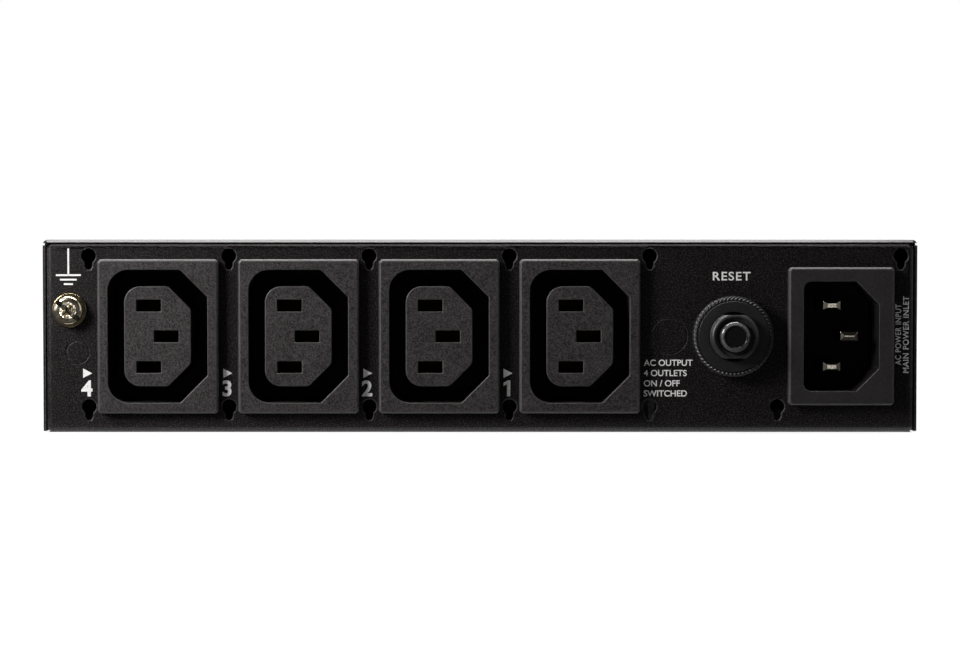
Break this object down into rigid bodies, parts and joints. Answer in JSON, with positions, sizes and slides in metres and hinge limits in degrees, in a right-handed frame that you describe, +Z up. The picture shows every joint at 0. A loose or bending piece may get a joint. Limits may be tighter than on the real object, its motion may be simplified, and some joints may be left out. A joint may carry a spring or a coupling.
{
  "type": "smart power distribution unit",
  "caption": "Black half-rack power distribution unit: a folded steel case with a row of switched outlets, an inlet, a push-to-reset breaker and a bonding screw.",
  "frame": {"origin": "middle of the bottom face", "axes": "+Z up, +X to the right when facing the outlets, outlets face -Y, network jack faces +Y"},
  "size_m": [0.2, 0.1704, 0.044],
  "materials": {
    "case_paint": "fine-textured black powder coat",
    "cover_screw_black": "black plated",
    "outlet_plastic": "satin moulded",
    "inlet_plastic": "satin moulded",
    "breaker_plastic": "moulded",
    "nut_plastic": "moulded, knurled",
    "button_plastic": "moulded",
    "pin_nickel": "nickel plated",
    "contact_brass": "stamped strip",
    "yellow_zinc": "yellow passivated zinc",
    "bright_zinc": "bright zinc",
    "circuit_board": "solder mask",
    "relay_plastic": "moulded",
    "potted_plastic": "potted",
    "capacitor_sleeve": "shrunk sleeve",
    "terminal_plastic": "moulded",
    "jack_plastic": "moulded",
    "clear_guide": "clear moulded",
    "lamp_white": "moulded",
    "film_clear": "polyester film",
    "wire_brown": "insulated wire",
    "wire_blue": "insulated wire",
    "wire_green": "insulated wire"
  },
  "bodies": {
    "housing": {"board_header": "potted_plastic", "board_screws": "bright_zinc", "board_standoffs": "bright_zinc", "breaker_body": "breaker_plastic", "breaker_line_tab": "pin_nickel", "breaker_load_tab": "pin_nickel", "breaker_nut": "nut_plastic", "bulk_capacitor": "capacitor_sleeve", "chassis_tray": "case_paint", "controller_chip": "potted_plastic", "cover_screws": "cover_screw_black", "current_sensor": "potted_plastic", "earth_nut": "bright_zinc", "earth_stud": "bright_zinc", "earth_wire": "wire_green", "ground_nut": "bright_zinc", "ground_screw": "yellow_zinc", "ground_washer": "yellow_zinc", "inlet_earth_pin": "pin_nickel", "inlet_housing": "inlet_plastic", "inlet_line_pin": "pin_nickel", "inlet_neutral_pin": "pin_nickel", "insulating_sheet": "film_clear", "lan_contacts": "contact_brass", "lan_jack": "jack_plastic", "light_pipe": "clear_guide", "line_wire": "wire_brown", "load_wire": "wire_brown", "main_board": "circuit_board", "neutral_wire": "wire_blue", "outlet_1": "outlet_plastic", "outlet_1_earth_contact": "contact_brass", "outlet_1_line_contact": "contact_brass", "outlet_1_neutral_contact": "contact_brass", "outlet_2": "outlet_plastic", "outlet_2_earth_contact": "contact_brass", "outlet_2_line_contact": "contact_brass", "outlet_2_neutral_contact": "contact_brass", "outlet_3": "outlet_plastic", "outlet_3_earth_contact": "contact_brass", "outlet_3_line_contact": "contact_brass", "outlet_3_neutral_contact": "contact_brass", "outlet_4": "outlet_plastic", "outlet_4_earth_contact": "contact_brass", "outlet_4_line_contact": "contact_brass", "outlet_4_neutral_contact": "contact_brass", "outlet_board": "circuit_board", "relay_1": "relay_plastic", "relay_2": "relay_plastic", "relay_3": "relay_plastic", "relay_4": "relay_plastic", "status_leds": "lamp_white", "supply_module": "potted_plastic", "terminal_block": "terminal_plastic", "top_cover": "case_paint"},
    "reset_button": {"reset_button": "button_plastic"}
  },
  "joints": [
    {"name": "reset_button_travel", "type": "slide", "parent": "housing", "child": "reset_button", "axis": [0, -1, 0], "range_m": [0, 0.0035]}
  ]
}
